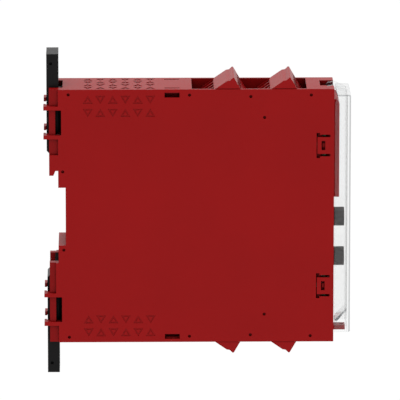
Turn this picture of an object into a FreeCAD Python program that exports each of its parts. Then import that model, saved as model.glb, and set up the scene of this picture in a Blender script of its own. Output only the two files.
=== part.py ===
"""Safety relay for a 35 mm mounting rail, drawn as a parametric document in millimetres.

+X points out of the front of the device, +Z up and Y across its 22.5 mm width. X = 0 is the rear face of
the two mounting sliders, which is the plane of the panel they screw to, and Z = 0 is mid-height.
"""

import FreeCAD, Part
import math
import os

import Sketcher

os.makedirs("parts", exist_ok=True)
doc = FreeCAD.newDocument("SafetyRelay")

# ---------------------------------------------------------------------------------------------------
# Driving dimensions
# ---------------------------------------------------------------------------------------------------

DIMENSIONS = {
    # housing
    "width": 22.5,
    "height": 101.0,
    "front_face": 111.85,
    "cheek_rear": 0.95,
    "plate": 1.2,
    "wall": 1.8,
    # rail recess in the rear edge
    "seat_face": 4.45,
    "recess_floor": 7.3,
    "recess_half": 11.55,
    "hook_tip_z": 16.35,
    "hook_tip_face": 2.6,
    "notch_z": 18.25,
    "notch_face": 3.35,
    "lower_cheek_z": 18.6,
    "lower_recess_face": 3.4,
    # channel of the sliders and the cheeks beside it
    "channel_half": 7.05,
    "channel_depth": 6.25,
    "cheek_end_z": 24.5,
    "claw_rear": -1.2,
    "claw_reach": 5.95,
    "claw_high": 1.55,
    "claw_low_z": 30.8,
    "claw_top_z": 42.3,
    "window_front": 5.7,
    "window_rear": 3.4,
    # sliders
    "slider_half": 6.75,
    "slider_thick": 4.65,
    "slider_inner_z": 24.4,
    "slider_outer_z": 63.7,
    "slider_nose": 2.7,
    "slider_step_z": 32.9,
    "screw_z": 57.0,
    "screw_radius": 2.25,
    # terminal wells and plugs
    "well_rear": 56.5,
    "well_front": 101.1,
    "well_floor": 31.0,
    "well_depth_x": 105.5,
    "plug_tilt": 34.6,
    "plug_peak_x": 72.7,
    "plug_peak_z": 55.2,
    "plug_long": 15.0,
    "plug_deep": 14.0,
    "plug_half": 9.75,
    "plug_head_half": 10.95,
    "plug_pitch": 21.9,
    "pole_pitch": 4.8,
    # front panel
    "panel_rear": 110.0,
    "panel_half": 9.9,
    "panel_top": 46.3,
    "panel_bottom": 48.4,
    "raised_face": 113.9,
    "raised_low": 7.2,
    "raised_half": 9.4,
    "knob_radius": 3.7,
    "knob_face": 116.2,
    "knob_upper_z": -2.75,
    "knob_lower_z": -18.65,
    "stem_radius": 1.7,
    "tongue_z": 28.05,
    # clear cover
    "cover_rear": 112.15,
    "cover_face": 118.35,
    "cover_half": 11.0,
    "cover_top": 48.2,
    "cover_bottom": 46.85,
    "cover_wall": 1.3,
    "hinge_x": 110.0,
    "hinge_z": 48.9,
    "arm_half": 4.1,
    "trunnion_radius": 0.9,
    # boards
    "board": 1.6,
    "board_face": 5.7,
}

sheet = doc.addObject("Spreadsheet::Sheet", "Dims")
for row, (name, value) in enumerate(DIMENSIONS.items(), start=1):
    sheet.set(f"A{row}", name)
    sheet.set(f"B{row}", str(value))
    sheet.setAlias(f"B{row}", name)
doc.recompute()


class Size:
    """A length that knows its value and the spreadsheet expression it comes from."""

    def __init__(self, value, text):
        self.value = value
        self.text = text

    def __add__(self, other):
        other = size(other)
        return Size(self.value + other.value, f"({self.text} + {other.text})")

    def __sub__(self, other):
        other = size(other)
        return Size(self.value - other.value, f"({self.text} - {other.text})")

    def __mul__(self, factor):
        return Size(self.value * factor, f"({self.text} * {factor:.6f})")

    def __neg__(self):
        return Size(-self.value, f"(-{self.text})")

    def __radd__(self, other):
        return size(other) + self

    def __rsub__(self, other):
        return size(other) - self

    __rmul__ = __mul__


def size(number):
    """Turns a plain number into a Size and leaves a Size as it is."""
    if isinstance(number, Size):
        return number
    return Size(float(number), f"{float(number):.6f}")


class Dims:
    """The spreadsheet's cells by name, each as a Size."""

    def __getattr__(self, name):
        return Size(float(sheet.get(name)), f"Dims.{name}")


d = Dims()

# ---------------------------------------------------------------------------------------------------
# Sketches and features
# ---------------------------------------------------------------------------------------------------

# Each plane gives the sign of its normal along the axis that it stands across.
PLANES = {"XY_Plane": 1, "XZ_Plane": -1, "YZ_Plane": 1}


def new_body(label):
    body = doc.addObject("PartDesign::Body", label)
    body.Label = label
    return body


def bind(target, path, length):
    """Binds a property to a Size's expression."""
    target.setExpression(path, length.text)


def place_sketch(body, plane, at):
    """A sketch on one of the body's origin planes, moved along its normal to the coordinate at."""
    origin_plane = next(item for item in body.Origin.OriginFeatures if item.Role == plane)
    sketch = body.newObject("Sketcher::SketchObject", "Sketch")
    sketch.AttachmentSupport = [(origin_plane, "")]
    sketch.MapMode = "FlatFace"
    offset = size(at) * PLANES[plane]
    sketch.AttachmentOffset.Base.z = offset.value
    bind(sketch, "AttachmentOffset.Base.z", offset)
    return sketch


def pin_point(sketch, geometry, point, position):
    """Fixes one point of the sketch at two bound distances from the origin."""
    for kind, length in zip(("DistanceX", "DistanceY"), position):
        length = size(length)
        index = sketch.addConstraint(Sketcher.Constraint(kind, -1, 1, geometry, point, length.value))
        bind(sketch, f"Constraints[{index}]", length)


def draw_loop(sketch, points):
    """A closed polygon whose corners are all bound."""
    points = [(size(u), size(v)) for u, v in points]
    first = sketch.GeometryCount
    vectors = [FreeCAD.Vector(u.value, v.value, 0) for u, v in points]
    for start, end in zip(vectors, vectors[1:] + vectors[:1]):
        sketch.addGeometry(Part.LineSegment(start, end), False)
    count = len(points)
    for index in range(count):
        following = first + (index + 1) % count
        sketch.addConstraint(Sketcher.Constraint("Coincident", first + index, 2, following, 1))
        pin_point(sketch, first + index, 1, points[index])


def draw_circle(sketch, centre, radius):
    """A circle with a bound centre and radius."""
    u, v = (size(part) for part in centre)
    radius = size(radius)
    circle = Part.Circle(FreeCAD.Vector(u.value, v.value, 0), FreeCAD.Vector(0, 0, 1), radius.value)
    index = sketch.addGeometry(circle, False)
    pin_point(sketch, index, 3, (u, v))
    constraint = sketch.addConstraint(Sketcher.Constraint("Radius", index, radius.value))
    bind(sketch, f"Constraints[{constraint}]", radius)


def draw(sketch, loops):
    """Draws polygons, given as lists of points, and circles, given as (centre, radius)."""
    for loop in loops:
        if isinstance(loop, tuple):
            draw_circle(sketch, *loop)
        else:
            draw_loop(sketch, loop)


def pad(body, plane, low, high, *loops):
    """Adds the drawn outlines between two coordinates across the plane."""
    start = low if PLANES[plane] > 0 else high
    sketch = place_sketch(body, plane, start)
    draw(sketch, loops)
    feature = body.newObject("PartDesign::Pad", "Pad")
    feature.Profile = sketch
    bind(feature, "Length", size(high) - low)
    body.Tip = feature
    return feature


def pocket(body, plane, low, high, *loops):
    """Removes the drawn outlines between two coordinates across the plane."""
    start = high if PLANES[plane] > 0 else low
    sketch = place_sketch(body, plane, start)
    draw(sketch, loops)
    feature = body.newObject("PartDesign::Pocket", "Pocket")
    feature.Profile = sketch
    bind(feature, "Length", size(high) - low)
    body.Tip = feature
    return feature


def along_x(body, feature, step, count):
    """Repeats a feature along X."""
    axis = next(item for item in body.Origin.OriginFeatures if item.Role == "X_Axis")
    pattern = body.newObject("PartDesign::LinearPattern", "LinearPattern")
    pattern.Originals = [feature]
    pattern.Direction = (axis, [""])
    bind(pattern, "Length", size(step) * (count - 1))
    pattern.Occurrences = count
    body.Tip = pattern
    return pattern


def rectangle(low, high):
    """The corners of a rectangle between two opposite ones."""
    return [(low[0], low[1]), (high[0], low[1]), (high[0], high[1]), (low[0], high[1])]


def in_order(*places):
    """Two coordinates with the lower one first."""
    return sorted((size(place) for place in places), key=lambda place: place.value)


def mirrored(points):
    """The same outline on the other side of mid-height."""
    return [(x, -size(z)) for x, z in points]


def box(name, low, high):
    """A Part::Box between two corners."""
    solid = doc.addObject("Part::Box", name)
    for prop, axis, start, end in zip(("Length", "Width", "Height"), "xyz", low, high):
        bind(solid, prop, size(end) - start)
        bind(solid, f"Placement.Base.{axis}", size(start))
    return solid


def rod(name, start, length, radius, axis):
    """A Part::Cylinder from a point along X, Y or Z."""
    solid = doc.addObject("Part::Cylinder", name)
    turn = {"x": ((0, 1, 0), 90), "y": ((1, 0, 0), -90), "z": ((0, 0, 1), 0)}[axis]
    solid.Placement.Rotation = FreeCAD.Rotation(FreeCAD.Vector(*turn[0]), turn[1])
    bind(solid, "Radius", size(radius))
    bind(solid, "Height", size(length))
    for letter, part in zip("xyz", start):
        bind(solid, f"Placement.Base.{letter}", size(part))
    return solid


def group(label, shapes):
    """Several identical solids that share one node."""
    compound = doc.addObject("Part::Compound", label)
    compound.Label = label
    compound.Links = shapes
    return compound


def fused(label, shapes):
    """Primitives joined into one piece."""
    result = doc.addObject("Part::MultiFuse", label)
    result.Label = label
    result.Shapes = shapes
    result.Refine = True
    return result


def cut(label, base, tool):
    """One primitive taken out of another."""
    result = doc.addObject("Part::Cut", label)
    result.Label = label
    result.Base = base
    result.Tool = tool
    return result

# ---------------------------------------------------------------------------------------------------
# Housing: a shell with the far wall, and a side cover that closes it
# ---------------------------------------------------------------------------------------------------

HALF = d.width * 0.5
TOP = d.height * 0.5
PLATE_IN = HALF - d.plate
SKIN = 0.8
SIGNS = (1, -1)


def both_ends(points):
    """An outline and its mirror image below mid-height."""
    return [points, mirrored(points)]


def side_outline():
    """The side view of the housing, with the rail recess in its rear edge."""
    return [
        (d.cheek_rear, -TOP),
        (d.front_face, -TOP),
        (d.front_face, TOP),
        (d.cheek_rear, TOP),
        (d.cheek_rear, d.hook_tip_z),
        (d.hook_tip_face, d.hook_tip_z),
        (d.notch_face, d.notch_z),
        (d.seat_face, d.notch_z),
        (d.seat_face, d.recess_half),
        (d.recess_floor, d.recess_half),
        (d.recess_floor, -d.recess_half),
        (d.seat_face, -d.recess_half),
        (d.seat_face, -d.lower_cheek_z),
        (d.cheek_rear, -d.lower_cheek_z),
    ]


def channel_outline():
    """The space between the cheeks that the upper slider runs in."""
    return [
        (d.claw_rear, d.recess_half),
        (d.seat_face, d.recess_half),
        (d.seat_face, d.cheek_end_z),
        (d.channel_depth, d.cheek_end_z),
        (d.channel_depth, TOP + 1),
        (d.claw_rear, TOP + 1),
    ]


def well_outline():
    """The upper terminal well, whose front wall leans like the plugs that it holds."""
    return [
        (d.well_rear, TOP + 1),
        (d.well_rear, d.well_floor + 14.5),
        (d.well_rear + 10.0, d.well_floor),
        (d.well_depth_x, d.well_floor),
        (d.well_depth_x, d.well_floor + 13.0),
        (d.well_front, TOP),
        (d.well_front, TOP + 1),
    ]


def cavity_outline():
    """The inside of the housing behind the front panel, below and between the two wells."""
    rear = d.recess_floor + d.wall
    ceiling = TOP - d.wall
    under_well = d.well_floor - d.wall
    board_space = d.well_depth_x + d.wall * 0.9
    upper = [
        (rear, ceiling),
        (d.well_rear - d.wall, ceiling),
        (d.well_rear - d.wall, d.well_floor + 14.0),
        (d.well_rear + 9.2, under_well),
        (board_space, under_well),
        (board_space, d.panel_top - 1.6),
        (d.panel_rear, d.panel_top - 1.6),
    ]
    return upper + list(reversed(mirrored(upper)))


RECESS_SPANS = (
    (d.cheek_end_z, d.claw_low_z),
    (d.claw_low_z + d.claw_high, d.claw_top_z),
    (d.claw_top_z + d.claw_high, TOP + 0.5),
)
DOTS = (
    (8.5, 48.5),
    (55.55, 48.25),
    (79.4, 47.6),
    (102.85, 48.15),
    (84.75, 39.3),
    (6.2, 17.9),
    (6.5, -13.4),
    (84.75, -39.4),
    (79.35, -47.7),
    (102.8, -48.15),
    (8.5, -48.45),
    (55.5, -48.2),
)
DOT_RADIUS = 0.6
LATCH_X = (45.9, 51.7)
LATCH_Z = (47.3, 49.25)
TONGUE_SLOT = 0.95
TONGUE_END_SLOT = 0.3
TONGUE_RELIEF = 0.7
TONGUE_ROOT = 110.3
TONGUE_END = 105.0
TONGUE_HALF = 4.3
CATCH_X = (106.95, 108.35)
CATCH_HALF = 1.8
VENT_X = 16.1
VENT_PITCH = 4.85
VENT_WIDE = 3.7
VENT_HIGH = 3.1
VENT_ROWS = (46.5, 41.3)
SIDE_GROOVE = 0.5
SIDE_VENT_DEEP = 0.2
END_GROOVE = 0.6
END_VENT_DEEP = 0.6


def vent_ring(x, v, direction, groove):
    """The groove of one triangular vent: an outer and an inner triangle, pointing along direction."""
    side = math.hypot(VENT_HIGH, VENT_WIDE / 2)
    inradius = VENT_WIDE * VENT_HIGH / (VENT_WIDE + 2 * side)
    inner = (inradius - groove) / inradius
    corners = ((-VENT_WIDE / 2, -inradius), (VENT_WIDE / 2, -inradius), (0, VENT_HIGH - inradius))
    centre = v + direction * (inradius - VENT_HIGH / 2)
    return [
        [(x + u * scale, centre + direction * w * scale) for u, w in corners]
        for scale in (1.0, inner)
    ]


def side_vents(body, low, high):
    """Two rows of six triangles at each end of a side face, turned about by turns."""
    loops = []
    for end in SIGNS:
        for row, z in enumerate(VENT_ROWS):
            for column in (0, 1):
                direction = end if (row + column) % 2 == 0 else -end
                loops += vent_ring(VENT_X + column * VENT_PITCH, end * z, direction, SIDE_GROOVE)
    feature = pocket(body, "XZ_Plane", low, high, *loops)
    along_x(body, feature, 2 * VENT_PITCH, 3)


def end_vents(body, low, high):
    """The same triangles across a top or bottom face."""
    loops = []
    for row, y in enumerate((7.95, 2.65, -2.65, -7.95)):
        for column in (0, 1):
            direction = 1 if (row + column) % 2 == 0 else -1
            loops += vent_ring(VENT_X + column * VENT_PITCH, y, direction, END_GROOVE)
    feature = pocket(body, "XY_Plane", low, high, *loops)
    along_x(body, feature, 2 * VENT_PITCH, 3)


def tongue_slot(middle):
    """The U-shaped slit that leaves a snap tongue rooted at the front."""
    inner = TONGUE_HALF - TONGUE_SLOT
    outer = TONGUE_HALF + TONGUE_RELIEF
    corner = TONGUE_END + 1.3
    return [
        (TONGUE_ROOT, middle - TONGUE_HALF),
        (corner, middle - TONGUE_HALF),
        (corner, middle - outer),
        (TONGUE_END, middle - outer),
        (TONGUE_END, middle + outer),
        (corner, middle + outer),
        (corner, middle + TONGUE_HALF),
        (TONGUE_ROOT, middle + TONGUE_HALF),
        (TONGUE_ROOT, middle + inner),
        (TONGUE_END + TONGUE_END_SLOT, middle + inner),
        (TONGUE_END + TONGUE_END_SLOT, middle - inner),
        (TONGUE_ROOT, middle - inner),
    ]


def slider_windows():
    """The windows between the claws that show the sliders."""
    low = (d.window_rear, d.claw_low_z + d.claw_high)
    return both_ends(rectangle(low, (d.window_front, d.claw_top_z)))


def side_openings(body, outside, inside):
    """What goes through both side walls: slider windows, latch windows and snap tongues."""
    low, high = in_order(outside, inside)
    loops = slider_windows()
    for end in SIGNS:
        middle = d.tongue_z * end
        loops.append(rectangle((LATCH_X[0], LATCH_Z[0] * end), (LATCH_X[1], LATCH_Z[1] * end)))
        loops.append(rectangle((CATCH_X[0], middle - CATCH_HALF), (CATCH_X[1], middle + CATCH_HALF)))
        loops.append(tongue_slot(middle))
    pocket(body, "XZ_Plane", low, high, *loops)


def side_finish(body, face, inward):
    """The shallow work on a side face: the lowered cheeks, the pin marks and the vents."""
    low, high = in_order(face, face + inward * d.plate)
    loops = []
    for span in RECESS_SPANS[1:]:
        loops += both_ends(rectangle((d.cheek_rear - 0.2, span[0]), (d.seat_face, span[1])))
    inner_span = RECESS_SPANS[0]
    loops.append(rectangle((d.cheek_rear - 0.2, inner_span[0]), (d.seat_face, inner_span[1])))
    low_corner = (d.cheek_rear - 0.2, -inner_span[1])
    loops.append(rectangle(low_corner, (d.lower_recess_face, -d.lower_cheek_z + 0.2)))
    pocket(body, "XZ_Plane", low, high, *loops)
    low, high = in_order(face, face + inward * SKIN)
    pocket(body, "XZ_Plane", low, high, *[((x, z), DOT_RADIUS) for x, z in DOTS])
    side_vents(body, *in_order(face, face + inward * SIDE_VENT_DEEP))


def make_side_cover():
    """The wall that closes the near side, with its share of the cheeks and claws."""
    body = new_body("side_cover")
    outer = -HALF
    inner = -PLATE_IN
    pad(body, "XZ_Plane", outer, inner, side_outline())
    claws = []
    for z in (d.claw_low_z, d.claw_top_z):
        claws += both_ends(rectangle((d.claw_rear, z), (d.cheek_rear + 0.5, z + d.claw_high)))
    pad(body, "XZ_Plane", outer, inner, *claws)
    side_openings(body, outer, inner)
    side_finish(body, outer, 1)
    return body


def make_shell():
    """The moulded housing: far wall, edges, rail recess, slider channels and terminal wells."""
    body = new_body("housing_shell")
    pad(body, "XZ_Plane", -PLATE_IN, HALF, side_outline())
    opening = rectangle((d.panel_rear - 0.01, -d.panel_bottom - 0.1), (d.front_face + 1, d.panel_top + 0.1))
    pocket(body, "XZ_Plane", -PLATE_IN, PLATE_IN, cavity_outline(), *both_ends(well_outline()))
    pocket(body, "XZ_Plane", -PLATE_IN, PLATE_IN, opening)
    pocket(body, "XZ_Plane", -d.channel_half, d.channel_half, *both_ends(channel_outline()))
    add_claws(body)
    cut_foot_slot(body)
    cut_hinge_pocket(body)
    cut_post_slots(body)
    add_latch_ribs(body)
    cut_latch_slots(body)
    side_openings(body, PLATE_IN, HALF)
    pocket(body, "XZ_Plane", -PLATE_IN, PLATE_IN, *slider_windows())
    side_finish(body, HALF, -1)
    end_vents(body, TOP - END_VENT_DEEP, TOP)
    end_vents(body, -TOP, -TOP + END_VENT_DEEP)
    return body


def add_claws(body):
    """Fingers that reach round behind the sliders from both cheeks."""
    behind = d.claw_rear + 0.9
    root = d.cheek_rear + 0.5
    for z in (d.claw_low_z, d.claw_top_z):
        for end in SIGNS:
            low, high = in_order(z * end, (z + d.claw_high) * end)
            fingers = [
                [
                    (root, outside),
                    (d.claw_rear, outside),
                    (d.claw_rear, d.claw_reach * side),
                    (behind, d.claw_reach * side),
                    (behind, d.channel_half * side),
                    (root, d.channel_half * side),
                ]
                for side, outside in ((-1, -PLATE_IN), (1, HALF))
            ]
            pad(body, "XY_Plane", low, high, *fingers)


FOOT_TOP = -d.lower_cheek_z - 0.1
FOOT_ROOT = (FOOT_TOP - 4.9, FOOT_TOP - 3.7)
FOOT_ROOT_HALF = 3.0


def cut_foot_slot(body):
    """The slot through the rear wall that the rail foot is pressed into."""
    low = (d.seat_face - 0.5, FOOT_ROOT[0] - 0.1)
    high = (d.recess_floor + d.wall + 0.1, FOOT_ROOT[1] + 0.1)
    pocket(body, "XZ_Plane", -FOOT_ROOT_HALF - 0.1, FOOT_ROOT_HALF + 0.1, rectangle(low, high))


HINGE_POCKET_HALF = 5.4
HINGE_POCKET_REAR = 106.5
HINGE_POCKET_FLOOR = 46.7
HINGE_RIB_HALF = 0.8


def cut_hinge_pocket(body):
    """The open pocket in the top front corner where the cover's two arms turn."""
    outline = rectangle((HINGE_POCKET_REAR, HINGE_POCKET_FLOOR), (d.front_face + 1, TOP + 1))
    pocket(body, "XZ_Plane", -HINGE_POCKET_HALF, -HINGE_RIB_HALF, outline)
    pocket(body, "XZ_Plane", HINGE_RIB_HALF, HINGE_POCKET_HALF, outline)
    above_rib = rectangle((HINGE_POCKET_REAR, TOP - 1.0), (d.front_face + 1, TOP + 1))
    pocket(body, "XZ_Plane", -HINGE_RIB_HALF, HINGE_RIB_HALF, above_rib)
    bearing = ((d.hinge_x, d.hinge_z), d.trunnion_radius + 0.05)
    pocket(body, "XZ_Plane", -6.4, 6.4, bearing)


def post_x(row):
    """Where the solder posts of a row of pins stand, rear row 0 and front row 1."""
    return tilted(PIN_X, PIN_ROOT, row)[0]


def cut_post_slots(body):
    """Slots in the well floors for the solder posts of the pin headers."""
    slots = [rectangle((post_x(row) - 1.1, -9.0), (post_x(row) + 1.1, 9.0)) for row in (0, 1)]
    under_floor = d.well_floor - d.wall
    pocket(body, "XY_Plane", under_floor, d.well_floor, *slots)
    pocket(body, "XY_Plane", -d.well_floor, -under_floor, *slots)


def add_latch_ribs(body):
    """Cross ribs that close off the latch windows and give the covers something to snap over."""
    for end in SIGNS:
        low = (LATCH_X[0] - 1.0, (LATCH_Z[0] - 1.0) * end)
        high = (LATCH_X[1] + 1.0, (TOP - 1.0) * end)
        pad(body, "XZ_Plane", -8.2, 8.2, rectangle(low, high))


def cut_latch_slots(body):
    """Slots through the top and bottom faces beside the latch windows."""
    slots = [
        rectangle((LATCH_X[0], near), (LATCH_X[1], far))
        for near, far in ((-8.8, -7.7), (7.7, 8.8))
    ]
    pocket(body, "XY_Plane", TOP - d.wall, TOP, *slots)
    pocket(body, "XY_Plane", -TOP, -TOP + d.wall, *slots)


# ---------------------------------------------------------------------------------------------------
# Terminal plugs: drawn in a tilted frame with the peak at its origin
# ---------------------------------------------------------------------------------------------------

TILT = math.radians(d.plug_tilt.value)
POLES = (-1.5, -0.5, 0.5, 1.5)
PIN_X = -6.0
PIN_ROOT = -19.0
PIN_HALF = 0.5
PIN_TIP = -8.8
SCREW_LOCAL_Z = -4.7
PLUG_TOP = 0.25
HEAD_GAP = 0.15


def tilted(x, z, row):
    """A point of a plug's own frame, as X and Z of the device."""
    return (
        d.plug_peak_x + d.plug_pitch * row + (x * math.cos(TILT) - z * math.sin(TILT)),
        d.plug_peak_z + (x * math.sin(TILT) + z * math.cos(TILT)),
    )


def plug_placement(row, end):
    """Where a plug's own frame sits: end is 1 in the top wells, -1 in the bottom ones."""
    turn = FreeCAD.Rotation(FreeCAD.Vector(0, 1, 0), -d.plug_tilt.value)
    if end < 0:
        turn = FreeCAD.Rotation(FreeCAD.Vector(1, 0, 0), 180).multiply(turn)
    x = d.plug_peak_x.value + row * d.plug_pitch.value
    return FreeCAD.Placement(FreeCAD.Vector(x, 0, end * d.plug_peak_z.value), turn)


def make_plug(label, row, end):
    """Four-pole plug: wires enter the sloping rear face and screws are reached from the front."""
    body = new_body(label)
    long, deep = d.plug_long, d.plug_deep
    profile = [
        (-long, PLUG_TOP),
        (-3.0, PLUG_TOP),
        (-1.9, -0.28),
        (-0.35, 0.0),
        (0.0, -0.35),
        (-0.45, -6.0),
        (-0.45, -deep),
        (-long, -deep),
    ]
    pad(body, "XZ_Plane", -d.plug_half, d.plug_half, profile)
    drop = TOP.value + HEAD_GAP - d.plug_peak_z.value
    head_rear = ((drop - PLUG_TOP * math.cos(TILT)) / math.sin(TILT), PLUG_TOP)
    head_front = (-0.389, (drop + 0.389 * math.sin(TILT)) / math.cos(TILT))
    head = [head_rear, *profile[1:5], head_front]
    pad(body, "XZ_Plane", -d.plug_head_half, d.plug_head_half, head)
    entries = []
    wells = []
    sockets = []
    heads = []
    shanks = []
    for pole in POLES:
        y = d.pole_pitch * pole
        entries.append(rectangle((-long - 0.5, y - 1.95), (-9.1, y + 1.95)))
        wells.append(rectangle((-13.9, y - 1.9), (-9.3, y + 1.9)))
        sockets.append(rectangle((-9.3, y - 1.5), (-4.4, y + 1.5)))
        heads.append(((y, SCREW_LOCAL_Z), 1.85))
        shanks.append(((y, SCREW_LOCAL_Z), 1.3))
    pocket(body, "XY_Plane", -2.6, PLUG_TOP + 0.1, *entries)
    pocket(body, "XY_Plane", -8.8, -2.5, *wells)
    pocket(body, "XY_Plane", -deep - 0.1, -8.0, *sockets)
    pocket(body, "YZ_Plane", -3.0, 0.2, *heads)
    pocket(body, "YZ_Plane", -9.4, -2.9, *shanks)
    body.Placement = plug_placement(row, end)
    return body


def make_clamp_screws(label, row, end):
    """Slotted clamp screws, one a pole."""
    screws = []
    for index, pole in enumerate(POLES):
        y = d.pole_pitch * pole
        name = f"{label}_{index}"
        head = rod(f"{name}_head", (-2.9, y, SCREW_LOCAL_Z), 1.3, 1.65, "x")
        shank = rod(f"{name}_shank", (-10.0, y, SCREW_LOCAL_Z), 7.2, 1.2, "x")
        slot = box(f"{name}_slot", (-2.3, y - 0.3, SCREW_LOCAL_Z - 2), (-1.5, y + 0.3, SCREW_LOCAL_Z + 2))
        whole = fused(f"{name}_whole", [head, shank])
        screws.append(cut(f"{name}_screw", whole, slot))
    result = group(label, screws)
    result.Placement = plug_placement(row, end)
    return result


def make_clamp_contacts(label, row, end):
    """Clamp cages round the wire entries, each with a fork that grips its pin."""
    contacts = []
    for index, pole in enumerate(POLES):
        y = d.pole_pitch * pole
        name = f"{label}_{index}"
        cage = box(f"{name}_cage", (-13.8, y - 1.8, -7.6), (-9.4, y + 1.8, -3.0))
        throat = box(f"{name}_throat", (-13.3, y - 1.3, -7.7), (-9.9, y + 1.3, -2.9))
        thread = rod(f"{name}_thread", (-10.2, y, SCREW_LOCAL_Z), 1.0, 1.21, "x")
        tail = box(f"{name}_tail", (-13.8, y - 1.2, -8.7), (-4.6, y + 1.2, -8.1))
        drop = box(f"{name}_drop", (-13.8, y - 1.2, -8.2), (-13.3, y + 1.2, -7.5))
        leaves = [
            box(f"{name}_leaf{side}", (-7.4, y + low, -13.6), (-4.6, y + high, -8.0))
            for side, (low, high) in enumerate(((-1.2, -0.6), (0.6, 1.2)))
        ]
        solid = fused(f"{name}_solid", [cage, tail, drop] + leaves)
        hollow = fused(f"{name}_hollow", [throat, thread])
        contacts.append(cut(f"{name}_contact", solid, hollow))
    result = group(label, contacts)
    result.Placement = plug_placement(row, end)
    return result


def make_header_pins(label, row, end):
    """Square pins that stand in the header at the plug's tilt, each on an upright solder post."""
    pins = []
    floor_top = d.well_floor - d.wall
    for index, pole in enumerate(POLES):
        y = d.pole_pitch * pole
        name = f"{label}_{index}"
        blade = doc.addObject("Part::Box", f"{name}_blade")
        blade.Length = blade.Width = 2 * PIN_HALF
        blade.Height = PIN_TIP - PIN_ROOT
        corner = FreeCAD.Vector(PIN_X - PIN_HALF, y.value - PIN_HALF, PIN_ROOT)
        in_plug = FreeCAD.Placement(corner, FreeCAD.Rotation())
        blade.Placement = plug_placement(row, end).multiply(in_plug)
        top = tilted(PIN_X, PIN_ROOT, row)[1] + 0.8
        foot, head = (floor_top, top) if end > 0 else (-top, -floor_top)
        side = y * end
        low = (post_x(row) - 0.4, side - 0.4, foot)
        high = (post_x(row) + 0.4, side + 0.4, head)
        post = box(f"{name}_post", low, high)
        pins.append(fused(f"{name}_pin", [blade, post]))
    return group(label, pins)


def make_pin_header(label, row, end, pins):
    """The insulating block on the well floor that carries a row of pins."""
    body = new_body(f"{label}_block")
    lower = tilted(-d.plug_long.value, -d.plug_deep.value - 0.3, row)
    upper = tilted(-0.45, -d.plug_deep.value - 0.3, row)
    outline = [(lower[0], d.well_floor), (upper[0], d.well_floor), upper, lower]
    if end < 0:
        outline = mirrored(outline)
    pad(body, "XZ_Plane", -9.6, 9.6, outline)
    return cut(label, body, pins)


# ---------------------------------------------------------------------------------------------------
# Sliders and rail foot
# ---------------------------------------------------------------------------------------------------


def make_slider(label, end):
    """A mounting slider: nose behind the rail's flange, body with the panel screw hole, front spine."""
    body = new_body(label)
    chamfer = 0.9
    side = [
        (0, d.slider_inner_z + chamfer),
        (chamfer, d.slider_inner_z),
        (d.slider_nose, d.slider_inner_z),
        (d.slider_nose, d.slider_step_z),
        (d.slider_thick, d.slider_step_z),
        (d.slider_thick, d.slider_outer_z),
        (0, d.slider_outer_z),
    ]
    spine = rectangle((d.slider_thick - 0.1, d.slider_step_z), (d.channel_depth - 0.3, TOP - 1.5))
    thumb = rectangle((-0.5, d.slider_outer_z - 2.1), (0.9, d.slider_outer_z - 1.0))
    if end < 0:
        side, spine, thumb = (mirrored(outline) for outline in (side, spine, thumb))
    pad(body, "XZ_Plane", -d.slider_half, d.slider_half, side)
    pad(body, "XZ_Plane", -3.0, 3.0, spine)
    hole = ((0, d.screw_z * end), d.screw_radius)
    pocket(body, "YZ_Plane", -0.5, d.slider_thick + 0.5, hole)
    pocket(body, "XZ_Plane", -4.0, 4.0, thumb)
    dimple = ((1.7, 59.9 * end), DOT_RADIUS)
    pocket(body, "XZ_Plane", -d.slider_half, -d.slider_half + SKIN, dimple)
    pocket(body, "XZ_Plane", d.slider_half - SKIN, d.slider_half, dimple)
    return body


def make_rail_foot():
    """The springy foot between the lower cheeks that the rail's lower edge sits on."""
    half = FOOT_ROOT_HALF
    low, high = FOOT_ROOT
    end = d.recess_floor + 2.6
    leaf = box("foot_leaf", (3.0, -6.6, FOOT_TOP - 5.1), (d.seat_face - 0.05, 6.6, FOOT_TOP))
    root = box("foot_root", (d.seat_face - 0.1, -half, low), (end, half, high))
    barb = box("foot_barb", (end - 0.6, -half, low - 0.4), (end, half, high + 0.4))
    return fused("rail_foot", [leaf, root, barb])


# ---------------------------------------------------------------------------------------------------
# Front: panel, clear cover and selector knobs
# ---------------------------------------------------------------------------------------------------

LAMP_Z = (12.0, 18.6, 25.2, 31.8, 38.4)
LAMP_RADIUS = 1.4
LUG_HALF = 2.5
SKIRT_REAR = 107.25
LUG_TIP = 116.7
LUG_Z = (-47.9, -46.2)


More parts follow.
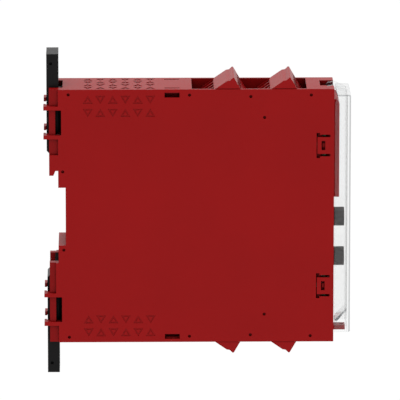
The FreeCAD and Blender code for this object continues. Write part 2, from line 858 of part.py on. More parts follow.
def make_front_panel():
    """The front plate with its raised indicator section, snap skirts and the seal lug."""
    body = new_body("front_panel")
    half = d.panel_half
    front, rear = d.front_face, d.panel_rear
    pad(body, "XZ_Plane", -half, half, rectangle((rear, -d.panel_bottom), (front, d.panel_top)))
    corner = 2.2
    raised = [
        (front - 0.2, d.raised_low),
        (d.raised_face, d.raised_low),
        (d.raised_face, d.panel_top - corner),
        (d.raised_face - corner * 0.29, d.panel_top - corner * 0.29),
        (front - 0.2, d.panel_top),
    ]
    pad(body, "XZ_Plane", -d.raised_half, d.raised_half, raised)
    inside = rectangle((rear - 0.1, d.raised_low + 1.4), (d.raised_face - 1.4, d.panel_top - 3.4))
    pocket(body, "XZ_Plane", -half + 1.6, half - 1.6, inside)
    lamps = [((0, z), LAMP_RADIUS + 0.1) for z in LAMP_Z]
    pocket(body, "YZ_Plane", rear, d.raised_face + 0.5, *lamps)
    stems = [((0, z), d.stem_radius + 0.3) for z in (d.knob_upper_z, d.knob_lower_z)]
    pocket(body, "YZ_Plane", rear - 0.5, front + 0.5, *stems)
    lug = rectangle((front - 0.2, LUG_Z[0]), (LUG_TIP, LUG_Z[1]))
    pad(body, "XZ_Plane", -LUG_HALF, LUG_HALF, lug)
    pocket(body, "XY_Plane", LUG_Z[0] - 0.5, LUG_Z[1] + 0.5, ((LUG_TIP - 1.6, 0), 0.8))
    catch = rectangle((-4.5, -45.6), (4.5, -43.3))
    pocket(body, "YZ_Plane", rear + 0.6, front + 0.5, catch)
    for side in SIGNS:
        inner, outer = in_order(half * side, (half - 1.2) * side)
        for end in SIGNS:
            middle = d.tongue_z * end
            skirt = rectangle((SKIRT_REAR, middle - 3.2), (rear + 0.1, middle + 3.2))
            pad(body, "XZ_Plane", inner, outer, skirt)
            step_low, step_high = in_order((half - 0.1) * side, (half + 0.45) * side)
            wedge = rectangle((SKIRT_REAR, middle - 0.8), (CATCH_X[1] - 0.1, middle + 0.8))
            pad(body, "XZ_Plane", step_low, step_high, wedge)
    return body


def make_clear_cover():
    """The hinged clear cover over the selectors, with its two hinge arms and its snap arm."""
    body = new_body("clear_cover")
    rear, face, half = d.cover_rear, d.cover_face, d.cover_half
    inner_face = face - d.cover_wall
    corner = 0.9
    outline = [
        (rear + 0.8, d.cover_top),
        (rear + 0.8, d.cover_top - 1.1),
        (rear, d.cover_top - 3.6),
        (rear, -d.cover_bottom),
        (face - 0.6, -d.cover_bottom),
        (face, -d.cover_bottom + 0.6),
        (face, d.cover_top - corner),
        (face - corner * 0.29, d.cover_top - corner * 0.29),
        (face - corner, d.cover_top),
    ]
    pad(body, "XZ_Plane", -half, half, outline)
    inside = rectangle((rear - 1, -d.cover_bottom - 1), (inner_face, d.cover_top - 1.1))
    pocket(body, "XZ_Plane", -half + 1.2, half - 1.2, inside)
    for side in SIGNS:
        low, high = in_order((d.arm_half - 1.6) * side, d.arm_half * side)
        arm = [
            (d.hinge_x, d.hinge_z + 1.3),
            (d.front_face + 0.5, TOP + 0.1),
            (face - 0.15, d.cover_top - 0.3),
            (face - 0.9, d.cover_top - 1.0),
            (rear + 0.8, d.cover_top - 1.0),
            (rear - 0.2, d.cover_top - 0.2),
            (d.hinge_x, d.hinge_z - 1.2),
        ]
        pad(body, "XZ_Plane", low, high, arm)
        pad(body, "XZ_Plane", low, high, ((d.hinge_x, d.hinge_z), 1.3))
        low, high = in_order((d.arm_half - 0.1) * side, 6.2 * side)
        pad(body, "XZ_Plane", low, high, ((d.hinge_x, d.hinge_z), d.trunnion_radius))
    snap = [
        (inner_face + 0.2, -38.7),
        (rear + 0.85, -43.2),
        (rear + 0.4, -44.1),
        (d.front_face - 0.7, -44.1),
        (d.front_face - 0.7, -45.1),
        (rear + 1.1, -45.1),
        (rear + 1.6, -43.9),
        (inner_face + 0.2, -39.8),
    ]
    pad(body, "XZ_Plane", -4.0, 4.0, snap)
    return body


def make_knob(label, z):
    """A screwdriver-slotted selector knob and its stem."""
    body = new_body(label)
    rear = d.front_face + 0.3
    pad(body, "YZ_Plane", rear, d.knob_face, ((0, z), d.knob_radius))
    pad(body, "YZ_Plane", d.panel_rear - 7.0, rear + 0.1, ((0, z), d.stem_radius))
    slot = rectangle((-0.65, z - d.knob_radius * 0.8), (0.65, z + d.knob_radius * 0.8))
    pocket(body, "YZ_Plane", d.knob_face - 1.5, d.knob_face + 0.1, slot)
    pointer = rectangle((-0.35, z + d.knob_radius * 0.75), (0.35, z + d.knob_radius + 0.1))
    pocket(body, "YZ_Plane", d.knob_face - 2.6, d.knob_face + 0.1, pointer)
    return body


# ---------------------------------------------------------------------------------------------------
# Electronics
# ---------------------------------------------------------------------------------------------------

FRONT_BOARD_X = (107.4, 108.7)
COMPONENT_FACE = d.board_face - 0.02


def make_main_board():
    """The upright board beside the far wall: tall behind the wells, narrow between them."""
    body = new_body("main_board")
    low = d.board_face
    narrow = d.well_floor - d.wall - 1.9
    front = FRONT_BOARD_X[0] - 0.6
    outline = [
        (11.0, -46.0),
        (53.0, -46.0),
        (53.0, -narrow),
        (front, -narrow),
        (front, narrow),
        (53.0, narrow),
        (53.0, 46.0),
        (11.0, 46.0),
    ]
    pad(body, "XZ_Plane", low, low + d.board, outline)
    holes = [((x, z), 1.6) for x in (14.5, 49.5) for z in (-42.5, 42.5)]
    pocket(body, "XZ_Plane", low - 0.1, low + d.board + 0.1, *holes)
    return body


def make_terminal_board(label, end):
    """The small board under a well floor that the header posts are soldered to."""
    body = new_body(label)
    under_floor = d.well_floor - d.wall
    low, high = in_order((under_floor - 1.8) * end, (under_floor - 0.2) * end)
    pad(body, "XY_Plane", low, high, rectangle((67.0, -9.3), (FRONT_BOARD_X[0] - 0.6, 9.3)))
    posts = []
    for row in (0, 1):
        for pole in POLES:
            y = d.pole_pitch * pole
            posts.append(rectangle((post_x(row) - 0.45, y - 0.45), (post_x(row) + 0.45, y + 0.45)))
    pocket(body, "XY_Plane", low - 0.1, high + 0.1, *posts)
    return body


def make_front_board():
    """The board behind the panel, which carries the lamps and the rotary switches."""
    body = new_body("front_board")
    pad(body, "YZ_Plane", FRONT_BOARD_X[0], FRONT_BOARD_X[1], rectangle((-8.4, -44.0), (8.4, 43.5)))
    stems = [((0, z), 2.4) for z in (d.knob_upper_z, d.knob_lower_z)]
    pocket(body, "YZ_Plane", FRONT_BOARD_X[0] - 0.1, FRONT_BOARD_X[1] + 0.1, *stems)
    return body


def make_rotary_switch(label, z):
    """A rotary coding switch with a bore for its knob's stem."""
    body = new_body(label)
    front = FRONT_BOARD_X[0]
    pad(body, "YZ_Plane", front - 5.6, front - 0.05, rectangle((-4.4, z - 4.6), (4.4, z + 4.6)))
    pocket(body, "YZ_Plane", front - 4.6, front + 0.1, ((0, z), d.stem_radius + 0.05))
    notches = [rectangle((y - 0.4, z - 4.7), (y + 0.4, z - 4.1)) for y in (-2.5, 0, 2.5)]
    pocket(body, "YZ_Plane", front - 5.7, front, *notches)
    return body


def make_relay(label, z):
    """A force-guided relay on the main board: sealed case, stand-off rim and contact pins."""
    body = new_body(label)
    face = COMPONENT_FACE
    pad(body, "XZ_Plane", face - 13.0, face - 0.6, rectangle((14.0, z - 8.6), (46.0, z + 8.6)))
    rims = [rectangle((x, z - 8.4), (x + 1.6, z + 8.4)) for x in (14.2, 44.2)]
    for rim in rims:
        pad(body, "XZ_Plane", face - 0.7, face, rim)
    vent = ((18.0, z + 5.5), 0.6)
    pocket(body, "XZ_Plane", face - 13.0, face - 12.5, vent)
    seam = [rectangle((13.0, z - 9), (14.25, z + 9)), rectangle((45.75, z - 9), (47.0, z + 9))]
    pocket(body, "XZ_Plane", face - 2.2, face - 1.9, *seam)
    return body


def make_power_parts():
    """Capacitors, transformer and fuse at the top of the main board."""
    face = COMPONENT_FACE
    cans = [
        rod(f"can_{index}", (x, face - 13.5, z), 13.5, 4.0, "y")
        for index, (x, z) in enumerate(((17.5, 39.0), (27.0, 39.0), (17.5, -39.5)))
    ]
    group("electrolytic_capacitors", cans)
    core = box("core", (33.0, face - 13.2, 32.5), (49.0, face - 1.0, 45.0))
    bobbin = box("bobbin", (31.8, face - 11.0, 34.0), (50.2, face, 43.5))
    fused("converter_transformer", [core, bobbin])
    fuse = rod("fuse_can", (30.0, face - 8.0, -39.5), 8.0, 4.2, "y")
    base = box("fuse_base", (25.4, face - 1.6, -44.1), (34.6, face, -34.9))
    fused("fuse", [fuse, base])


def make_controllers():
    """The two redundant controllers, with their leads, between the wells."""
    face = COMPONENT_FACE
    chips = []
    for index, z in enumerate((-13.0, 13.0)):
        case = box(f"chip_{index}", (70.0, face - 1.5, z - 5.0), (80.0, face - 0.15, z + 5.0))
        leads = [
            box(f"chip_{index}_lead_{side}", low, high)
            for side, (low, high) in enumerate((
                ((69.0, face - 0.3, z - 4.4), (81.0, face, z + 4.4)),
                ((70.6, face - 0.3, z - 6.0), (79.4, face, z + 6.0)),
            ))
        ]
        chips.append(fused(f"chip_{index}_whole", [case] + leads))
    group("controllers", chips)


def make_lamps():
    """Status lamps on the front board and the guide that brings their light to the front."""
    board = FRONT_BOARD_X[1] + 0.02
    lamps = [
        box(f"lamp_{index}", (board, -0.8, z - 0.6), (board + 0.9, 0.8, z + 0.6))
        for index, z in enumerate(LAMP_Z)
    ]
    group("status_lamps", lamps)
    web = box("guide_web", (110.9, -1.9, LAMP_Z[0] - 2.0), (111.9, 1.9, LAMP_Z[-1] + 2.0))
    pips = [
        rod(f"pip_{index}", (110.0, 0, z), d.raised_face + 0.25 - 110.0, LAMP_RADIUS, "x")
        for index, z in enumerate(LAMP_Z)
    ]
    fused("light_guide", [web] + pips)


# ---------------------------------------------------------------------------------------------------
# The device
# ---------------------------------------------------------------------------------------------------

ROWS = ("rear", "front")
ENDS = {"top": 1, "bottom": -1}

make_shell()
make_side_cover()
make_front_panel()
make_clear_cover()
make_knob("selector_knob_upper", d.knob_upper_z)
make_knob("selector_knob_lower", d.knob_lower_z)
make_rotary_switch("rotary_switch_upper", d.knob_upper_z)
make_rotary_switch("rotary_switch_lower", d.knob_lower_z)
make_rail_foot()
for end_name, end in ENDS.items():
    make_slider(f"mounting_slider_{end_name}", end)
    make_terminal_board(f"terminal_board_{end_name}", end)
    for row, row_name in enumerate(ROWS):
        place = f"{end_name}_{row_name}"
        make_plug(f"terminal_plug_{place}", row, end)
        make_clamp_screws(f"clamp_screws_{place}", row, end)
        make_clamp_contacts(f"clamp_contacts_{place}", row, end)
        pins = make_header_pins(f"header_pins_{place}", row, end)
        make_pin_header(f"pin_header_{place}", row, end, pins)
make_main_board()
make_front_board()
make_relay("safety_relay_upper", 18.0)
make_relay("safety_relay_lower", -3.5)
make_power_parts()
make_controllers()
make_lamps()

doc.recompute()

NODES = [
    "housing_shell",
    "side_cover",
    "front_panel",
    "clear_cover",
    "selector_knob_upper",
    "selector_knob_lower",
    "rotary_switch_upper",
    "rotary_switch_lower",
    "rail_foot",
    "main_board",
    "front_board",
    "safety_relay_upper",
    "safety_relay_lower",
    "electrolytic_capacitors",
    "converter_transformer",
    "fuse",
    "controllers",
    "status_lamps",
    "light_guide",
]
for end_name in ENDS:
    NODES += [f"mounting_slider_{end_name}", f"terminal_board_{end_name}"]
    for row_name in ROWS:
        for kind in ("terminal_plug", "clamp_screws", "clamp_contacts", "header_pins", "pin_header"):
            NODES.append(f"{kind}_{end_name}_{row_name}")

for item in doc.Objects:
    if "Invalid" in item.State or "Error" in item.State:
        raise RuntimeError(f"{item.Name} failed: {item.State}")
for node in NODES:
    shape = doc.getObjectsByLabel(node)[0].Shape
    if shape.isNull() or not shape.isValid():
        raise RuntimeError(f"{node} has no valid shape")
for node in NODES:
    shape = doc.getObjectsByLabel(node)[0].Shape
    shape.exportStep(f"parts/{node}.step")
    bounds = shape.BoundBox
    print(f"{node}: {len(shape.Solids)} solids, {shape.Volume:.0f} mm3, "
          f"{bounds.XLength:.1f} x {bounds.YLength:.1f} x {bounds.ZLength:.1f} mm")
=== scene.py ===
"""Looks, lights and camera for the safety relay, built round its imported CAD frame. Lengths are in metres."""

import math

import bpy
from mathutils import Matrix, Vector


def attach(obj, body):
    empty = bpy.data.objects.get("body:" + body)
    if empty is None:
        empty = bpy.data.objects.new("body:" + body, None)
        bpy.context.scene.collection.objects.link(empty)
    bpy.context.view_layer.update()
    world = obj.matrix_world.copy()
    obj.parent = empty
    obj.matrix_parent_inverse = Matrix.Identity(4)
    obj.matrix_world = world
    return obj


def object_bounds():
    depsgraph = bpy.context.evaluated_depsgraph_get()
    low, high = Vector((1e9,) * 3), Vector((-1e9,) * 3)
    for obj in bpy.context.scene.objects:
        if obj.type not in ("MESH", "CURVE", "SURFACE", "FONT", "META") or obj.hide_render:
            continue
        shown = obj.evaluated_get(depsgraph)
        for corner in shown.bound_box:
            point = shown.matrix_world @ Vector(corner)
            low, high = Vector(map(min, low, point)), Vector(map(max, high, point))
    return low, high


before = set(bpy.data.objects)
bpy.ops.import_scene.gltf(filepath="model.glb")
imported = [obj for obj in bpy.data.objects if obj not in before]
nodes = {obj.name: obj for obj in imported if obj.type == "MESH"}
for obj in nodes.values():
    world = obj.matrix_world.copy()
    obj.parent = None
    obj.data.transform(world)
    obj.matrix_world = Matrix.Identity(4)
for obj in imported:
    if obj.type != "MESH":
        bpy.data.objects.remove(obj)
scene = bpy.context.scene
cad_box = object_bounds()
half_width = cad_box[1][1]

# ---------------------------------------------------------------------------------------------------
# Node helpers
# ---------------------------------------------------------------------------------------------------


class Graph:
    """A material's or world's node tree with short ways to add and join nodes."""

    def __init__(self, tree):
        self.tree = tree
        tree.nodes.clear()

    def add(self, kind, settings=None, **inputs):
        """Adds a node. An input is named by its label with _ for spaces, or by its number as i0, i1."""
        node = self.tree.nodes.new(kind)
        for key, value in (settings or {}).items():
            setattr(node, key, value)
        for key, value in inputs.items():
            if key[0] == "i" and key[1:].isdigit():
                socket = node.inputs[int(key[1:])]
            else:
                socket = node.inputs[key.replace("_", " ")]
            self.give(socket, value)
        return node

    def give(self, socket, value):
        """Joins an input to another node's output, or sets it to a constant."""
        if isinstance(value, bpy.types.NodeSocket):
            self.tree.links.new(value, socket)
        else:
            socket.default_value = value

    def math(self, operation, first, second=0.0, third=0.5):
        return self.add("ShaderNodeMath", {"operation": operation}, i0=first, i1=second, i2=third).outputs[0]

    def product(self, first, *others):
        for other in others:
            first = self.math("MULTIPLY", first, other)
        return first

    def away_from(self, value, centre):
        """How far a number is from another."""
        return self.math("ABSOLUTE", self.math("SUBTRACT", value, centre))

    def parts(self, vector):
        """The X, Y and Z of a vector."""
        return self.add("ShaderNodeSeparateXYZ", None, i0=vector).outputs

    def likeness(self, first, second):
        """1 where two unit vectors agree, and less the more they differ."""
        node = self.add("ShaderNodeVectorMath", {"operation": "DOT_PRODUCT"}, i0=first, i1=second)
        return node.outputs["Value"]

    def noise(self, place, scale, detail, roughness):
        node = self.add("ShaderNodeTexNoise", None, Vector=place, Scale=scale, Detail=detail,
                        Roughness=roughness)
        return node.outputs["Fac"]

    def remap(self, value, low, high, to_low=0.0, to_high=1.0):
        """Turns low to to_low and high to to_high, and keeps between them."""
        node = self.add("ShaderNodeMapRange", None, i0=value, i1=low, i2=high, i3=to_low, i4=to_high)
        return node.outputs[0]

    def blend(self, amount, first, second):
        """A colour between two, by an amount from 0 to 1."""
        node = self.add("ShaderNodeMix", {"data_type": "RGBA"}, i0=amount)
        for index, colour in ((6, first), (7, second)):
            self.give(node.inputs[index], (*colour, 1.0) if isinstance(colour, tuple) else colour)
        return node.outputs[2]

    def rounded(self, radius, samples=4):
        """The normal that faces have when their edges are rounded."""
        return self.add("ShaderNodeBevel", {"samples": samples}, Radius=radius).outputs[0]

    def bump(self, height, strength, distance, **normal):
        node = self.add("ShaderNodeBump", None, Strength=strength, Distance=distance, Height=height, **normal)
        return node.outputs[0]

    def mix(self, amount, first, second):
        """A shader between two, by an amount from 0 to 1."""
        return self.add("ShaderNodeMixShader", None, i0=amount, i1=first, i2=second).outputs[0]

    def output(self, shader, kind="ShaderNodeOutputMaterial"):
        self.add(kind, None, i0=shader)


def new_material(name):
    material = bpy.data.materials.new(name)
    material.use_nodes = True
    return material, Graph(material.node_tree)


def dress(material, *names):
    """Gives CAD nodes a material in every slot of their objects."""
    for name in names:
        piece = nodes[name]
        if not piece.material_slots:
            piece.data.materials.append(material)
        for material_slot in piece.material_slots:
            material_slot.link = "OBJECT"
            material_slot.material = material


def scaled(colour, factor):
    return tuple(min(1.0, part * factor) for part in colour)


# ---------------------------------------------------------------------------------------------------
# Moulded plastic
# ---------------------------------------------------------------------------------------------------

# How many clouds, pits and grains there are in a metre, and how deep the last two are
FLOW_SCALE = 38.0
PIT_SCALE = 1700.0
GRAIN_SCALE = 5200.0
PIT_DEPTH = 0.00003
GRAIN_DEPTH = 0.00002

# How much paint the worn edges lose, how much of its colour a deep recess keeps under the painted shade, and
# the plain gloss
WEAR = 0.6
RECESS_SHADE = 0.04
FULL_GLOSS = 0.5

# A face points sideways if the Y of its normal is past this, and is inset over these distances from the side
SIDEWAYS = 0.9
INSET_FROM = 0.0001
INSET_FULLY = 0.0004


def inset_shade(g, place, face, strength):
    """Painted shade: how much darker the side faces are that lie inside the device's full width, where less
    light reaches them.
    """
    sideways = g.math("GREATER_THAN", g.math("ABSOLUTE", g.parts(face)[1]), SIDEWAYS)
    across = g.math("ABSOLUTE", g.parts(place)[1])
    inside = g.remap(across, half_width - INSET_FROM, half_width - INSET_FULLY, 0.0, strength)
    return g.product(sideways, inside)


def moulded(name, colour, rough, ior, edge=0.00018, grain=0.6, pale=1.12, hollow=0.0, open_at=0.72,
            glossy_at=0.65, behind=1.0, inset=0.0):
    """Injection-moulded plastic: eroded grain, faint flow clouds and slightly worn, paler edges.

    Edge is the radius of the worn edges, and pale is how much paler they are. Hollow is the reach over which
    shade is painted into recesses, darkening their colour and gloss. Open_at and glossy_at are the shares of
    open sky from which a face keeps its full colour and gloss, and recesses count only at an X below behind.
    Inset is for inset_shade, the painted shade on side faces set in from the full width."""
    material, g = new_material(name)
    place = g.add("ShaderNodeTexCoord").outputs["Object"]
    face = g.add("ShaderNodeNewGeometry").outputs["Normal"]
    rounded = g.rounded(edge)
    flow = g.noise(place, FLOW_SCALE, 3.0, 0.55)
    fine = g.noise(place, GRAIN_SCALE, 2.0, 0.6)
    pits = g.noise(place, PIT_SCALE, 3.0, 0.65)

    edges = g.remap(g.likeness(rounded, face), 0.995, 0.80)
    worn = g.product(edges, g.remap(pits, 0.35, 0.65, 0.4, 1.0), WEAR)
    clouds = g.blend(g.remap(flow, 0.3, 0.7), scaled(colour, 0.96), scaled(colour, 1.04))
    speckled = g.blend(g.remap(fine, 0.25, 0.75, 0.0, 0.5), clouds, scaled(colour, 0.93))
    paint = g.blend(worn, speckled, scaled(colour, pale))
    # Painted shade on side faces set in from the full width.
    if inset:
        paint = g.blend(inset_shade(g, place, face, inset), paint, scaled(colour, 0.0))
    gloss = FULL_GLOSS
    # Painted shade: recesses turn darker and less glossy the less open sky they see, standing in for the shade
    # that falls in them.
    if hollow:
        openness = g.add("ShaderNodeAmbientOcclusion", {"samples": 6}, Distance=hollow).outputs["AO"]
        openness = g.math("MAXIMUM", openness, g.math("GREATER_THAN", g.parts(place)[0], behind))
        paint = g.blend(g.remap(openness, 0.10, open_at, 0.06, 1.0), scaled(colour, RECESS_SHADE), paint)
        gloss = g.remap(openness, 0.12, glossy_at, 0.06, FULL_GLOSS)

    flowing = g.remap(flow, 0.2, 0.8, rough - 0.03, rough + 0.03)
    sheen = g.math("ADD", flowing, g.remap(pits, 0.3, 0.7, -0.03, 0.03))
    skin = g.bump(fine, grain * 0.35, GRAIN_DEPTH, Normal=rounded)
    skin = g.bump(pits, grain * 0.5, PIT_DEPTH, Normal=skin)
    shader = g.add("ShaderNodeBsdfPrincipled", None, Base_Color=paint, Roughness=sheen, IOR=ior,
                   Specular_IOR_Level=gloss, Normal=skin)
    g.output(shader.outputs[0])
    return material


# ---------------------------------------------------------------------------------------------------
# Clear plastic
# ---------------------------------------------------------------------------------------------------

CLEAR_TINT = (0.966, 0.968, 0.968)
CLEAR_EDGE_TINT = (0.16, 0.17, 0.18)
CLEAR_EDGE_RADIUS = 0.00022
CLEAR_IOR = 1.49
MIRROR_STRENGTH = 1.1
MILKINESS = 0.026
MILK_COLOUR = (0.93, 0.94, 0.94, 1.0)

# The grey lines: how far they lie from the cover's edges and from its front face, and from which half width
# they fade to which they are full
EDGE_LINE_AT = 0.00034
EDGE_LINE_FADE = (0.00036, 0.00018)
WALL_LINE_AT = 0.00148
WALL_LINE_FADE = (0.00034, 0.00016)

# The wall's line begins under the top edge and ends above the snap arm. The edge's line turns a round corner.
WALL_LINE_BELOW_TOP = (0.0004, 0.0012)
WALL_LINE_LOW_END = (-0.0405, -0.0375)
CORNER_BLEND = 0.0006

# How dark the lines are, and what share of that they keep on the side that faces away
LINE_DARKNESS = 0.52
WALL_LINE_DARKNESS = 0.55
FAR_SIDE_SHARE = 0.12
SIDE_MARGIN = 0.0004

# Where the snap arm's end faces are, and over which depth behind the front face they turn dark
ARM_HALF_WIDTH = 0.0045
ARM_Z = -0.0410
ARM_REACH = 0.0030
ARM_DEPTH = (0.0010, 0.0040)

# The other edges darken little on side faces and near the hinge, which lies this deep behind the front face
SIDE_EDGE_SHARE = 0.05
HINGE_EDGE_SHARE = 0.15
HINGE_DEPTH = (0.0078, 0.0062)


def side_lines(g, place, below, depth):
    """The painted grey lines on the cover's outer side faces, which stand in for light bent away: along its
    edges, and where its front wall begins.
    """
    edge = g.math("SMOOTH_MIN", depth, below, CORNER_BLEND)
    edge_line = g.remap(g.away_from(edge, EDGE_LINE_AT), *EDGE_LINE_FADE)
    wall_line = g.remap(g.away_from(depth, WALL_LINE_AT), *WALL_LINE_FADE)
    under_top = g.remap(below, *WALL_LINE_BELOW_TOP)
    above_arm = g.remap(place[2], *WALL_LINE_LOW_END, 0.0, WALL_LINE_DARKNESS)
    return g.math("MAXIMUM", g.product(wall_line, under_top, above_arm), edge_line)


def clear_plastic(name, cover):
    """Thin clear moulded plastic, with grey shade painted into it where it bends the light away: along its
    edges, where the walls of the cover meet on its outer side faces, and in the end faces of its snap arm."""
    material, g = new_material(name)
    corners = [vertex.co for vertex in cover.data.vertices]
    front_face = max(corner.x for corner in corners)
    side = max(corner.y for corner in corners)
    top = max(corner.z for corner in corners if corner.y > side - 0.0001)

    coordinates = g.add("ShaderNodeTexCoord").outputs
    place = g.parts(coordinates["Object"])
    across = g.math("ABSOLUTE", place[1])
    depth = g.math("SUBTRACT", front_face, place[0])
    below = g.math("SUBTRACT", top, place[2])
    geometry = g.add("ShaderNodeNewGeometry").outputs
    towards_eye = g.math("SUBTRACT", 1.0, geometry["Backfacing"])
    sideways = g.math("GREATER_THAN", g.math("ABSOLUTE", g.parts(coordinates["Normal"])[1]), SIDEWAYS)
    rounded = g.rounded(CLEAR_EDGE_RADIUS, 8)

    outer = g.product(sideways, g.math("GREATER_THAN", across, side - SIDE_MARGIN),
                      g.remap(towards_eye, 0.0, 1.0, FAR_SIDE_SHARE, 1.0))
    lines = g.product(side_lines(g, place, below, depth), outer, LINE_DARKNESS)
    in_arm = g.product(g.math("LESS_THAN", across, ARM_HALF_WIDTH),
                       g.math("COMPARE", place[2], ARM_Z, ARM_REACH))
    arm_end = g.product(sideways, towards_eye, in_arm, g.remap(depth, *ARM_DEPTH, 0.35, 1.0))
    off_sides = g.remap(sideways, 0.0, 1.0, 1.0, SIDE_EDGE_SHARE)
    off_hinge = g.remap(depth, *HINGE_DEPTH, HINGE_EDGE_SHARE, 1.0)
    bent = g.product(g.remap(g.likeness(rounded, geometry["Normal"]), 0.996, 0.84), off_sides, off_hinge)

    body = g.blend(bent, CLEAR_TINT, CLEAR_EDGE_TINT)
    body = g.blend(lines, body, CLEAR_EDGE_TINT)
    body = g.blend(arm_end, body, CLEAR_EDGE_TINT)
    through = g.add("ShaderNodeBsdfTransparent", None, Color=body).outputs[0]
    milk = g.add("ShaderNodeBsdfDiffuse", None, Color=MILK_COLOUR).outputs[0]
    clouded = g.mix(g.product(towards_eye, MILKINESS), through, milk)

    haze = g.remap(g.noise(coordinates["Object"], 260.0, 4.0, 0.6), 0.35, 0.75, 0.03, 0.10)
    gloss = g.add("ShaderNodeBsdfAnisotropic", None, Roughness=haze, Normal=rounded).outputs[0]
    mirrored = g.add("ShaderNodeFresnel", None, IOR=CLEAR_IOR, Normal=rounded).outputs[0]
    g.output(g.mix(g.product(mirrored, MIRROR_STRENGTH, towards_eye), clouded, gloss))
    return material


# ---------------------------------------------------------------------------------------------------
# Metal and circuit boards
# ---------------------------------------------------------------------------------------------------

METAL_EDGE = 0.00008
SCRATCH_DEPTH = 0.00002
TRACK_HEIGHT = 0.00004


def plated(name, colour, rough, stretch):
    """Plated metal with drawn scratches along one axis and dull cloudy patches."""
    material, g = new_material(name)
    place = g.add("ShaderNodeTexCoord").outputs["Object"]
    drawn = g.add("ShaderNodeMapping", None, Vector=place, Scale=stretch).outputs[0]
    scratches = g.noise(drawn, 1.0, 4.0, 0.7)
    cloud = g.noise(place, 500.0, 3.0, 0.6)
    paint = g.blend(g.remap(cloud, 0.3, 0.7), scaled(colour, 0.86), scaled(colour, 1.08))
    scratched = g.remap(scratches, 0.3, 0.7, rough - 0.08, rough + 0.08)
    sheen = g.math("ADD", scratched, g.remap(cloud, 0.3, 0.7, -0.05, 0.05))
    skin = g.bump(scratches, 0.25, SCRATCH_DEPTH, Normal=g.rounded(METAL_EDGE))
    shader = g.add("ShaderNodeBsdfPrincipled", None, Base_Color=paint, Roughness=sheen, Metallic=1.0,
                   Normal=skin)
    g.output(shader.outputs[0])
    return material


def solder_mask(name, mask, weave):
    """A circuit board: green mask over woven glass, with copper tracks that show through as paler lines."""
    material, g = new_material(name)
    place = g.add("ShaderNodeTexCoord").outputs["Object"]
    cells = g.add("ShaderNodeTexVoronoi", {"feature": "DISTANCE_TO_EDGE", "distance": "MANHATTAN"},
                  Vector=place, Scale=320.0).outputs["Distance"]
    tracks = g.remap(cells, 0.02, 0.05, 1.0, 0.0)
    threads = g.add("ShaderNodeTexWave", {"wave_type": "BANDS"}, Vector=place, Scale=900.0,
                    Distortion=0.6).outputs["Fac"]
    base = g.blend(g.product(threads, 0.35), mask, weave)
    paint = g.blend(g.product(tracks, 0.6), base, scaled(mask, 2.6))
    skin = g.bump(g.math("ADD", tracks, g.product(threads, 0.15)), 0.4, TRACK_HEIGHT)
    sheen = g.remap(cells, 0.0, 0.3, 0.3, 0.42)
    shader = g.add("ShaderNodeBsdfPrincipled", None, Base_Color=paint, Roughness=sheen, IOR=1.5, Normal=skin)
    g.output(shader.outputs[0])
    return material


# ---------------------------------------------------------------------------------------------------
# What each piece wears
# ---------------------------------------------------------------------------------------------------

RED = (0.322, 0.0047, 0.0052)
PANEL_FRONT = 0.1095

# The housing's hollow paints shade into its recesses, and its inset paints shade on its side faces set in from
# the full width.
housing_red = moulded("housing_red", RED, 0.37, 1.20, hollow=0.010, open_at=0.66, inset=0.2)
cover_red = moulded("cover_red", RED, 0.37, 1.20, hollow=0.006)
panel_red = moulded("panel_red", RED, 0.37, 1.20, hollow=0.004, behind=PANEL_FRONT)
plug_red = moulded("plug_red", (0.325, 0.0045, 0.0055), 0.36, 1.205, edge=0.00012, hollow=0.006,
                   glossy_at=0.50)
slider_black = moulded("slider_black", (0.0065, 0.0062, 0.0063), 0.37, 1.215, hollow=0.004)
# Painted shade: the rail foot is black plastic made darker and duller than the sliders' black, standing in for
# the shade it lies in between the cheeks.
foot_shaded_black = moulded("foot_shaded_black", (0.0040, 0.0032, 0.0032), 0.6, 1.05, hollow=0.006)
knob_grey = moulded("knob_grey", (0.029, 0.029, 0.030), 0.45, 1.35, pale=1.3)
switch_black = moulded("switch_black", (0.020, 0.020, 0.021), 0.45, 1.45, edge=0.00008)
relay_case = moulded("relay_case", (0.030, 0.030, 0.034), 0.33, 1.5, edge=0.00015)
ferrite = moulded("core_grey", (0.060, 0.060, 0.064), 0.6, 1.5, grain=1.2)
lamp_white = moulded("lamp_white", (0.82, 0.81, 0.76), 0.3, 1.5, edge=0.00005)
clear = clear_plastic("clear_plastic", nodes["clear_cover"])
can_aluminium = plated("can_aluminium", (0.62, 0.62, 0.64), 0.32, (700.0, 60.0, 700.0))
zinc = plated("plated_steel", (0.62, 0.61, 0.58), 0.34, (300.0, 2500.0, 300.0))
tin = plated("plated_brass", (0.74, 0.73, 0.69), 0.28, (2500.0, 2500.0, 300.0))
board_green = solder_mask("board_green", (0.012, 0.085, 0.036), (0.035, 0.12, 0.05))

PLACES = [f"{end}_{row}" for end in ("top", "bottom") for row in ("rear", "front")]

dress(housing_red, "housing_shell")
dress(cover_red, "side_cover")
dress(panel_red, "front_panel")
dress(plug_red, *[f"terminal_plug_{place}" for place in PLACES])
dress(slider_black, "mounting_slider_top", "mounting_slider_bottom")
dress(foot_shaded_black, "rail_foot")
dress(knob_grey, "selector_knob_upper", "selector_knob_lower")
dress(switch_black, "rotary_switch_upper", "rotary_switch_lower", "controllers")
dress(switch_black, *[f"pin_header_{place}" for place in PLACES])
dress(relay_case, "safety_relay_upper", "safety_relay_lower", "fuse")
dress(ferrite, "converter_transformer")
dress(clear, "clear_cover", "light_guide")
dress(can_aluminium, "electrolytic_capacitors")
dress(zinc, *[f"clamp_screws_{place}" for place in PLACES])
dress(zinc, *[f"clamp_contacts_{place}" for place in PLACES])
dress(tin, *[f"header_pins_{place}" for place in PLACES])
dress(board_green, "main_board", "front_board", "terminal_board_top", "terminal_board_bottom")
dress(lamp_white, "status_lamps")

# ---------------------------------------------------------------------------------------------------
# Ribs inside the walls
# ---------------------------------------------------------------------------------------------------

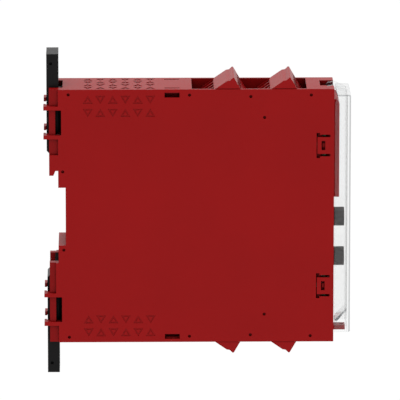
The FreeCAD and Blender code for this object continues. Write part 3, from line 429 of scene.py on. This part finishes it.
# The ranges that one rib fills. It repeats on both sides and at both ends.
RIB_X = (0.1053, 0.1069)
RIB_Y = (0.0094, 0.01003)
RIB_Z = (0.0220, 0.0253)

# The faces of a box whose eight corners run through X, Y and Z, the last one fastest
BOX_FACES = ((0, 1, 3, 2), (4, 6, 7, 5), (0, 4, 5, 1), (2, 3, 7, 6), (0, 2, 6, 4), (1, 5, 7, 3))


def add_tongue_ribs():
    """Short ribs inside the side walls that close the view through the corners of the tongues' slits."""
    corners, faces = [], []
    for side in (-1.0, 1.0):
        for end in (-1.0, 1.0):
            first = len(corners)
            corners += [(x, side * y, end * z) for x in RIB_X for y in RIB_Y for z in RIB_Z]
            faces += [[first + index for index in face] for face in BOX_FACES]
    mesh = bpy.data.meshes.new("tongue_ribs")
    mesh.from_pydata(corners, [], faces)
    mesh.materials.append(housing_red)
    ribs = bpy.data.objects.new("tongue_ribs", mesh)
    scene.collection.objects.link(ribs)
    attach(ribs, "housing")


add_tongue_ribs()

# ---------------------------------------------------------------------------------------------------
# Floor, world and lamps
# ---------------------------------------------------------------------------------------------------

WHITE = (1.0, 1.0, 1.0, 1.0)
FLOOR_COLOUR = (0.86, 0.86, 0.86, 1.0)
FLOOR_REACH = 6.0
FLOOR_LEVEL = -0.12
FLOOR_GLOW = 1.025
FLOOR_GLOW_SHARE = 0.94
SKY_LOW = 0.70
SKY_HIGH = 0.86
DEVICE_MIDDLE = (0.06, 0.0, 0.0)


def pale_for_camera(g, lit, white, share):
    """Shows a plain white to the camera, reflections and clear plastic, over what the lamps light."""
    path = g.add("ShaderNodeLightPath").outputs
    seen = g.math("MAXIMUM", path["Is Camera Ray"], path["Is Transmission Ray"])
    seen = g.math("MAXIMUM", seen, path["Is Glossy Ray"])
    return g.mix(g.product(seen, share), lit, white)


def add_floor():
    """A wide pale floor below the device, which is held by its mount and so doesn't stand on it."""
    mesh = bpy.data.meshes.new("floor")
    turns = ((-1, -1), (1, -1), (1, 1), (-1, 1))
    corners = [(x * FLOOR_REACH, y * FLOOR_REACH, FLOOR_LEVEL) for x, y in turns]
    mesh.from_pydata(corners, [], [(0, 1, 2, 3)])
    floor = bpy.data.objects.new("floor", mesh)
    scene.collection.objects.link(floor)
    material, g = new_material("floor_pale")
    matt = g.add("ShaderNodeBsdfDiffuse", None, Color=FLOOR_COLOUR).outputs[0]
    glow = g.add("ShaderNodeEmission", None, Color=WHITE, Strength=FLOOR_GLOW).outputs[0]
    g.output(pale_for_camera(g, matt, glow, FLOOR_GLOW_SHARE))
    mesh.materials.append(material)


def set_world():
    """Soft studio light from all round, a little stronger from above."""
    world = bpy.data.worlds.new("studio")
    scene.world = world
    world.use_nodes = True
    g = Graph(world.node_tree)
    upward = g.parts(g.add("ShaderNodeTexCoord").outputs["Generated"])[2]
    level = g.remap(upward, -0.1, 0.9, SKY_LOW, SKY_HIGH)
    soft = g.add("ShaderNodeBackground", None, Color=WHITE, Strength=level).outputs[0]
    white = g.add("ShaderNodeBackground", None, Color=WHITE, Strength=1.0).outputs[0]
    g.output(pale_for_camera(g, soft, white, 1.0), "ShaderNodeOutputWorld")


def face_from(thing, at, towards_camera):
    """Puts a lamp or the camera at a place, with its back along a direction."""
    thing.location = at
    thing.rotation_mode = "QUATERNION"
    thing.rotation_quaternion = (-towards_camera).to_track_quat("-Z", "Y")
    scene.collection.objects.link(thing)


def add_lamp(name, at, size, power):
    """A square soft lamp that faces the device."""
    data = bpy.data.lights.new(name, "AREA")
    data.size = size
    data.energy = power
    face_from(bpy.data.objects.new(name, data), at, Vector(at) - Vector(DEVICE_MIDDLE))


add_floor()
set_world()
add_lamp("key", (-0.35, -0.75, 0.75), 0.7, 0.75)
add_lamp("top", (0.06, 0.10, 0.90), 0.8, 2.4)

# ---------------------------------------------------------------------------------------------------
# Camera
# ---------------------------------------------------------------------------------------------------

# The view that fits the straight edges of the photograph
AZIMUTH = math.radians(-0.8606)
ELEVATION = math.radians(12.9132)
TARGET = Vector((0.059807, 0.0, 0.0039175))
DISTANCE = 2.3257

# In millimetres
SENSOR_WIDTH = 36.0
FOCAL_LENGTH = 534.66

camera_data = bpy.data.cameras.new("camera")
camera_data.sensor_width = SENSOR_WIDTH
camera_data.lens = FOCAL_LENGTH
camera_data.clip_start = 0.05
camera_data.clip_end = 50.0
camera = bpy.data.objects.new("camera", camera_data)
backward = Vector((
    math.sin(AZIMUTH) * math.cos(ELEVATION),
    -math.cos(AZIMUTH) * math.cos(ELEVATION),
    math.sin(ELEVATION),
))
face_from(camera, TARGET + backward * DISTANCE, backward)
scene.camera = camera
scene.view_settings.view_transform = "Standard"
